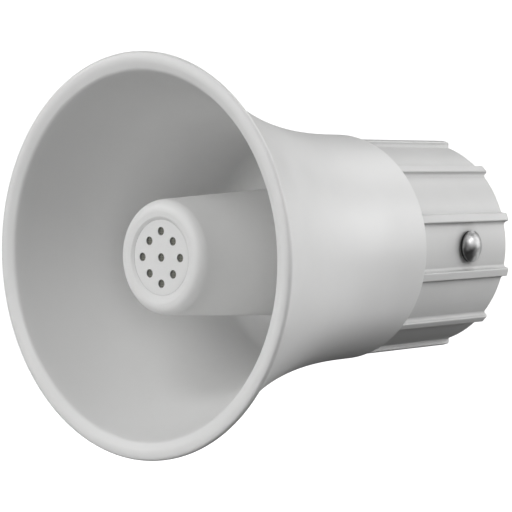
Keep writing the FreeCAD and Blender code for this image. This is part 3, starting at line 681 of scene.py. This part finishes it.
# ---- rear fittings --------------------------------------------------------------------------
def make_cover_screws():
    """Pan heads with a cross recess, on their plain shanks."""
    top = PANEL_BACK + SCREW_HEAD_H
    outline = rounded([(0.0, top), (SCREW_HEAD_R - 1.6, top), (SCREW_HEAD_R, top - 0.4, 0.6),
                       (SCREW_HEAD_R, PANEL_BACK, 0.2), (SCREW_R, PANEL_BACK),
                       (SCREW_R, TURN_DEPTH, 0.3), (0.0, TURN_DEPTH)])
    reach = SCREW_HEAD_R * CROSS_SHARE
    for k, place in enumerate(cover_screw_places()):
        bm = bmesh.new()
        turn_into(bm, outline, 64, place)
        name = "cover_screw_%d" % (k + 1)
        screw = finish_mesh(name, bm, "housing", "stainless")
        slots = []
        for half_x, half_z in ((reach, CROSS_HALF), (CROSS_HALF, reach)):
            low = (-half_x, top - CROSS_DEPTH, -half_z)
            high = (half_x, top + 1, half_z)
            slots.append(box_tool(low, high, 0.1, place))
        combine(screw, slots, "DIFFERENCE")
        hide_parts("cover_screws")


def make_selector_knob():
    """Dial with a pointer bar, its spindle, and a groove along the pointer's lower half."""
    place = moved(0, SELECTOR_Z)
    dial_top = DIAL_FRONT + DIAL_HEIGHT
    pointer_top = dial_top + POINTER_HEIGHT
    dial = rounded([(0.0, DIAL_FRONT), (DIAL_R, DIAL_FRONT, 0.5),
                    (DIAL_TOP_R, dial_top, 0.8), (0.0, dial_top)])
    spindle_start = PANEL_DEPTH - SPINDLE_LENGTH
    spindle_end = DIAL_FRONT + 0.2
    spindle = [(0.0, spindle_start), (SPINDLE_R, spindle_start), (SPINDLE_R, spindle_end), (0.0, spindle_end)]
    bm = bmesh.new()
    turn_into(bm, dial, 96, place)
    pointer_low = (-POINTER_HALF_WIDTH, dial_top - POINTER_SUNK, -POINTER_HALF_LENGTH)
    pointer_high = (POINTER_HALF_WIDTH, pointer_top, POINTER_HALF_LENGTH)
    soft_box(bm, pointer_low, pointer_high, 0.7, place)
    turn_into(bm, spindle, 32, place)
    knob = finish_mesh("selector_dial", bm, "selector_knob", "black_plastic")
    groove_low = (-GROOVE_HALF, pointer_top - GROOVE_DEPTH, -POINTER_HALF_LENGTH - 1)
    groove_high = (GROOVE_HALF, pointer_top + 1, -GROOVE_FROM)
    combine(knob, [box_tool(groove_low, groove_high, 0.1, place)], "DIFFERENCE")
    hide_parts("selector_knob")


def hex_ring(bm, across, corner_r, depth, place):
    """A ring of vertices round a hexagon whose corners are turned off at a radius."""
    ring = []
    for i in range(NUT_POINTS):
        angle = 2 * math.pi * i / NUT_POINTS
        from_flat = (angle + FLAT_TURN / 2) % FLAT_TURN - FLAT_TURN / 2
        radius = min(corner_r, across / 2 / math.cos(from_flat))
        ring.append(bm.verts.new(place(Vector((radius * math.cos(angle), depth, radius * math.sin(angle))))))
    return ring


def make_gland_nut():
    """Domed clamping nut: six flats at its foot, a round collar and a dome with the cable's hole."""
    place = moved(0, GLAND_Z)
    flats_end = NUT_FOOT + NUT_FLATS
    top = NUT_FOOT + NUT_LENGTH
    bore = CABLE_R + CABLE_ROOM
    full = (NUT_ACROSS, NUT_CORNER_R)
    bevelled = (NUT_ACROSS - 2 * NUT_FLAT_BEVEL, NUT_CORNER_R - NUT_BEVEL)
    levels = [(*bevelled, NUT_FOOT), (*full, NUT_FOOT + NUT_BEVEL),
              (*full, flats_end - NUT_BEVEL), (*bevelled, flats_end)]
    dome = rounded([(NUT_DOME_R, flats_end + 0.1), (NUT_DOME_R, top, 3.0), (bore, top, 0.5),
                    (bore, top - 1.4), (NUT_THREAD_R, top - 2.0), (NUT_THREAD_R, NUT_FOOT + 0.2)])
    bm = bmesh.new()
    rings = [horn_ring(bm, NUT_THREAD_R, NUT_FOOT, NUT_POINTS, place)]
    rings += [hex_ring(bm, *level, place) for level in levels]
    rings += [horn_ring(bm, radius, depth, NUT_POINTS, place) for radius, depth in dome]
    rings_to_faces(bm, rings, closed=True)
    nut = finish_mesh("gland_cap", bm, "gland_nut", "black_plastic", smooth_angle=30)
    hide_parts("gland_nut")


# ---- materials ------------------------------------------------------------------------------
GRAIN_SCALE = 2600.0
GRAIN_HEIGHT = 0.00012
SCRATCH_SCALE = 700.0
SCRATCH_HEIGHT = 0.00006
THREAD_HEIGHT = 0.0002
SHEET_HEIGHT = 0.0001
# How far the painted corner shade looks for nearby surfaces (ambient occlusion distance).
PAINTED_SHADE_REACH = 0.006


def new_material(name, roughness, metallic=0.0):
    """A plain material and its shader node."""
    material = bpy.data.materials.new(name)
    material.use_nodes = True
    shader = material.node_tree.nodes["Principled BSDF"]
    shader.inputs["Roughness"].default_value = roughness
    shader.inputs["Metallic"].default_value = metallic
    return material, shader


def noise(material, scale, detail=4.0, rough=0.5):
    """Noise over the object's own metres."""
    nodes, links = material.node_tree.nodes, material.node_tree.links
    place = nodes.new("ShaderNodeTexCoord")
    texture = nodes.new("ShaderNodeTexNoise")
    texture.inputs["Scale"].default_value = scale
    texture.inputs["Detail"].default_value = detail
    texture.inputs["Roughness"].default_value = rough
    links.new(place.outputs["Object"], texture.inputs["Vector"])
    return texture.outputs["Fac"]


def spread(material, value, low, high):
    """Map the middle of a noise on to a range."""
    nodes, links = material.node_tree.nodes, material.node_tree.links
    mapped = nodes.new("ShaderNodeMapRange")
    mapped.inputs["From Min"].default_value = 0.3
    mapped.inputs["From Max"].default_value = 0.7
    mapped.inputs["To Min"].default_value = low
    mapped.inputs["To Max"].default_value = high
    links.new(value, mapped.inputs["Value"])
    return mapped.outputs["Result"]


def mix_colours(material, factor, low, high):
    """Blend two colours by a value from 0 to 1."""
    nodes, links = material.node_tree.nodes, material.node_tree.links
    mix = nodes.new("ShaderNodeMix")
    mix.data_type = "RGBA"
    mix.inputs["A"].default_value = (*low, 1)
    mix.inputs["B"].default_value = (*high, 1)
    links.new(factor, mix.inputs["Factor"])
    return mix.outputs["Result"]


def bump(material, shader, height, strength, distance):
    """Fine relief from a value, up to a height in metres."""
    nodes, links = material.node_tree.nodes, material.node_tree.links
    node = nodes.new("ShaderNodeBump")
    node.inputs["Strength"].default_value = strength
    node.inputs["Distance"].default_value = distance
    links.new(height, node.inputs["Height"])
    links.new(node.outputs["Normal"], shader.inputs["Normal"])


def painted_corner_shade(material, colour, amount):
    """Painted shade: darken a colour in corners and grooves, wherever ambient occlusion finds them shut in.
    """
    nodes, links = material.node_tree.nodes, material.node_tree.links
    # Ambient occlusion drives the painted shade: the more shut in a point is, the darker its colour.
    corner = nodes.new("ShaderNodeAmbientOcclusion")
    corner.samples = 12
    corner.inputs["Distance"].default_value = PAINTED_SHADE_REACH
    level = nodes.new("ShaderNodeMapRange")
    level.inputs["From Min"].default_value = 0.3
    level.inputs["From Max"].default_value = 0.95
    level.inputs["To Min"].default_value = 1 - amount
    level.inputs["To Max"].default_value = 1.0
    links.new(corner.outputs["AO"], level.inputs["Value"])
    tint = nodes.new("ShaderNodeMix")
    tint.data_type = "RGBA"
    tint.blend_type = "MULTIPLY"
    tint.inputs["Factor"].default_value = 1.0
    links.new(colour, tint.inputs["A"])
    links.new(level.outputs["Result"], tint.inputs["B"])
    return tint.outputs["Result"]


def moulded(name, colour, roughness, variation=0.03, grain=0.12, corner_shade=0.3):
    """Moulded plastic: cloudy tone, painted shade in its corners and grooves, uneven sheen and a fine
    spark-eroded grain.
    """
    material, shader = new_material(name, roughness)
    links = material.node_tree.links
    low = [c * (1 - variation) for c in colour]
    high = [min(1.0, c * (1 + variation)) for c in colour]
    cloud = spread(material, noise(material, 14.0, 5.0, 0.6), 0.0, 1.0)
    tone = mix_colours(material, cloud, low, high)
    # The base colour carries painted shade in corners and grooves, taken from ambient occlusion.
    links.new(painted_corner_shade(material, tone, corner_shade), shader.inputs["Base Color"])
    links.new(spread(material, noise(material, 45.0, 3.0), roughness - 0.05, roughness + 0.06),
              shader.inputs["Roughness"])
    bump(material, shader, noise(material, GRAIN_SCALE, 2.0), grain, GRAIN_HEIGHT)
    return material


def metal(name, colour, roughness, scratch=0.08):
    """Metal with a cloudy polish and fine marks."""
    material, shader = new_material(name, roughness, 1.0)
    links = material.node_tree.links
    cloud = spread(material, noise(material, 160.0, 4.0), 0.0, 1.0)
    dark = [c * 0.86 for c in colour]
    links.new(mix_colours(material, cloud, dark, colour), shader.inputs["Base Color"])
    links.new(spread(material, noise(material, 420.0, 4.0), roughness * 0.7, roughness * 1.4),
              shader.inputs["Roughness"])
    bump(material, shader, noise(material, SCRATCH_SCALE, 6.0, 0.7), scratch, SCRATCH_HEIGHT)
    return material


def woven(name, colour, pitch):
    """Fine woven mesh: two crossed waves for the threads."""
    material, shader = new_material(name, 0.8)
    nodes, links = material.node_tree.nodes, material.node_tree.links
    place = nodes.new("ShaderNodeTexCoord")
    heights = []
    for direction in ("X", "Z"):
        wave = nodes.new("ShaderNodeTexWave")
        wave.bands_direction = direction
        wave.inputs["Scale"].default_value = 1 / pitch
        links.new(place.outputs["Object"], wave.inputs["Vector"])
        heights.append(wave.outputs["Fac"])
    joined = nodes.new("ShaderNodeMath")
    joined.operation = "MAXIMUM"
    links.new(heights[0], joined.inputs[0])
    links.new(heights[1], joined.inputs[1])
    dark = [c * 0.35 for c in colour]
    links.new(mix_colours(material, joined.outputs["Value"], dark, colour), shader.inputs["Base Color"])
    bump(material, shader, joined.outputs["Value"], 0.5, THREAD_HEIGHT)
    return material


def layered(name, colour, pitch, metallic):
    """Stacked laminations: thin bands across X."""
    material, shader = new_material(name, 0.5, metallic)
    nodes, links = material.node_tree.nodes, material.node_tree.links
    place = nodes.new("ShaderNodeTexCoord")
    wave = nodes.new("ShaderNodeTexWave")
    wave.bands_direction = "X"
    wave.inputs["Scale"].default_value = 1 / pitch
    links.new(place.outputs["Object"], wave.inputs["Vector"])
    dark = [c * 0.4 for c in colour]
    links.new(mix_colours(material, wave.outputs["Fac"], dark, colour), shader.inputs["Base Color"])
    bump(material, shader, wave.outputs["Fac"], 0.4, SHEET_HEIGHT)
    return material


def make_materials():
    """One material for each of the record's slots."""
    return {
        # The last number of each grey plastic sets the strength of its painted corner shade.
        "grey_plastic": moulded("grey_abs", (0.775, 0.775, 0.77), 0.42, variation=0.02, grain=0.10, corner_shade=0.7),
        "cover_plastic": moulded("grey_cover", (0.67, 0.67, 0.665), 0.45, grain=0.16, corner_shade=0.8),
        "black_plastic": moulded("black_nylon", (0.03, 0.03, 0.032), 0.48, variation=0.2, grain=0.3),
        "zinc_steel": metal("zinc_plate", (0.62, 0.63, 0.6), 0.34),
        "stainless": metal("stainless_screw", (0.6, 0.59, 0.57), 0.26),
        "polished_steel": metal("polished_bolt", (0.38, 0.38, 0.38), 0.4, scratch=0.12),
        "rubber": moulded("black_rubber", (0.025, 0.025, 0.025), 0.7, variation=0.2, grain=0.4),
        "mesh": woven("acoustic_mesh", (0.2, 0.2, 0.17), 0.004),
        "diaphragm": moulded("phenolic_film", (0.42, 0.2, 0.06), 0.4, variation=0.15),
        "copper": metal("copper_winding", (0.75, 0.38, 0.2), 0.3),
        "ferrite": moulded("ferrite_block", (0.05, 0.05, 0.055), 0.55, variation=0.25, grain=0.5),
        "laminations": layered("core_laminations", (0.25, 0.25, 0.27), 0.004, 0.8),
        "winding_tape": moulded("winding_tape_yellow", (0.7, 0.5, 0.08), 0.4, variation=0.1),
        "laminate": moulded("paper_laminate", (0.3, 0.16, 0.06), 0.5, variation=0.15),
        "lead_sleeve": moulded("lead_sleeve_red", (0.4, 0.03, 0.03), 0.45, variation=0.1),
    }


# ---- camera, stage and light ----------------------------------------------------------------
CAMERA_AZIMUTH = 41.75
CAMERA_ELEVATION = 2.34
CAMERA_ROLL = -0.0065    # radians
CAMERA_LENS = 126.56
CAMERA_SENSOR = 36.0
CAMERA_PLACE = Vector((6.2874, -6.1519, 0.3581))   # from the mouth's centre, in mouth radii

# Soft boxes on a sphere round the horn: (name, azimuth, elevation, watts).
LIGHTS = (
    ("front_high", 0, 50, 7.5),
    ("front", 0, 15, 11.5),
    ("front_left", -45, 25, 9.0),
    ("front_low", -30, -25, 7.5),
    ("camera_side", 42, 3, 5.5),
    ("right", 106, 24, 18.0),
    ("right_rear", 150, 12, 14.5),
    ("rear_high", 172, 48, 9.5),
    ("rear_low", 165, -24, 6.0),
)
LIGHT_SIZE = 1.2
LIGHT_DISTANCE = 2.0

WORLD_TOP = 0.07
WORLD_LOW = 0.02

FLOOR_Z = -0.3
FLOOR_R = 3.0
FLOOR_SWEEP = 1.0
FLOOR_WALL_TOP = 5.0
FLOOR_GLOW = 1.1


def turned_view(azimuth, elevation):
    """Unit vector from the object towards a viewer; azimuth 0 stands on the -Y side."""
    a, e = math.radians(azimuth), math.radians(elevation)
    return Vector((math.sin(a) * math.cos(e), -math.cos(a) * math.cos(e), math.sin(e)))


def make_camera():
    """A long lens at the three-quarter front view."""
    camera = bpy.data.objects.new("camera", bpy.data.cameras.new("camera"))
    camera.data.sensor_width = CAMERA_SENSOR
    camera.data.lens = CAMERA_LENS
    camera.data.clip_end = 30.0
    back = turned_view(CAMERA_AZIMUTH, CAMERA_ELEVATION)
    right = (-back).cross(Vector((0, 0, 1))).normalized()
    up = right.cross(-back)
    tilted_right = right * math.cos(CAMERA_ROLL) + up * math.sin(CAMERA_ROLL)
    tilted_up = up * math.cos(CAMERA_ROLL) - right * math.sin(CAMERA_ROLL)
    basis = Matrix((tilted_right, tilted_up, back)).transposed().to_4x4()
    at = CAMERA_PLACE * (MOUTH_R * mm) + Vector((0, along(0), 0))
    camera.matrix_world = Matrix.Translation(at) @ basis
    bpy.context.scene.collection.objects.link(camera)
    bpy.context.scene.camera = camera


def make_lights():
    """Round soft boxes, each facing the horn."""
    for name, azimuth, elevation, power in LIGHTS:
        data = bpy.data.lights.new(name, "AREA")
        data.shape = "DISK"
        data.size = LIGHT_SIZE
        data.energy = power
        light = bpy.data.objects.new(name, data)
        at = turned_view(azimuth, elevation) * LIGHT_DISTANCE
        light.matrix_world = Matrix.Translation(at) @ at.to_track_quat("Z", "Y").to_matrix().to_4x4()
        bpy.context.scene.collection.objects.link(light)


def make_world():
    """Soft room light: brighter overhead than from below."""
    world = bpy.data.worlds.new("studio")
    world.use_nodes = True
    bpy.context.scene.world = world
    nodes, links = world.node_tree.nodes, world.node_tree.links
    place = nodes.new("ShaderNodeTexCoord")
    parts = nodes.new("ShaderNodeSeparateXYZ")
    level = nodes.new("ShaderNodeMapRange")
    level.inputs["From Min"].default_value = -0.6
    level.inputs["From Max"].default_value = 0.8
    level.inputs["To Min"].default_value = WORLD_LOW
    level.inputs["To Max"].default_value = WORLD_TOP
    links.new(place.outputs["Generated"], parts.inputs["Vector"])
    links.new(parts.outputs["Z"], level.inputs["Value"])
    links.new(level.outputs["Result"], nodes["Background"].inputs["Strength"])


def floor_ring(bm, radius, height):
    """A level circle of the floor's vertices."""
    segments = 96
    ring = []
    for i in range(segments):
        angle = 2 * math.pi * i / segments
        ring.append(bm.verts.new((radius * math.cos(angle), radius * math.sin(angle), height)))
    return ring


def make_stage():
    """A wide pale floor that sweeps up into a wall all round."""
    steps = 12
    outline = [(1.0, FLOOR_Z), (FLOOR_R, FLOOR_Z)]
    for i in range(1, steps + 1):
        angle = math.radians(90 * i / steps)
        radius = FLOOR_R + FLOOR_SWEEP * math.sin(angle)
        outline.append((radius, FLOOR_Z + FLOOR_SWEEP * (1 - math.cos(angle))))
    outline.append((FLOOR_R + FLOOR_SWEEP, FLOOR_WALL_TOP))
    bm = bmesh.new()
    rings = [[bm.verts.new((0, 0, FLOOR_Z))]]
    rings += [floor_ring(bm, radius, height) for radius, height in outline]
    rings_to_faces(bm, rings, closed=False)
    mesh = bpy.data.meshes.new("studio_floor")
    bm.to_mesh(mesh)
    bm.free()
    mesh.polygons.foreach_set("use_smooth", [True] * len(mesh.polygons))
    floor = bpy.data.objects.new("studio_floor", mesh)
    bpy.context.scene.collection.objects.link(floor)
    material, shader = new_material("studio_paper", 0.9)
    shader.inputs["Base Color"].default_value = (0.9, 0.9, 0.9, 1)
    shader.inputs["Emission Color"].default_value = (1, 1, 1, 1)
    shader.inputs["Emission Strength"].default_value = FLOOR_GLOW
    shader.inputs["Specular IOR Level"].default_value = 0.0
    floor.data.materials.append(material)
    floor.visible_diffuse = False
    floor.visible_glossy = False
    floor.visible_shadow = False


# ---- put it together ------------------------------------------------------------------------
def paint(materials):
    """Give every piece and every shown CAD node its slot's material."""
    slots = {subpart["node"]: subpart["material_slot"] for subpart in frame["record"]["subparts"]}
    for node, obj in frame["nodes"].items():
        obj.data.materials.clear()
        obj.data.materials.append(materials[slots[node]])
    for obj in bpy.context.scene.objects:
        if obj.type == "MESH" and "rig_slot" in obj:
            obj.data.materials.clear()
            obj.data.materials.append(materials[obj["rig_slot"]])


make_camera()
make_world()
make_lights()
make_stage()
make_bell()
make_nose()
make_nose_face()
make_rear_cover()
for bolt_name, bolt_side in (("left", -1), ("right", 1)):
    make_side_bolt(bolt_name, bolt_side)
    make_side_washer(bolt_name, bolt_side)
make_cover_screws()
make_selector_knob()
make_gland_nut()
paint(make_materials())
bpy.context.scene.view_settings.view_transform = "Standard"
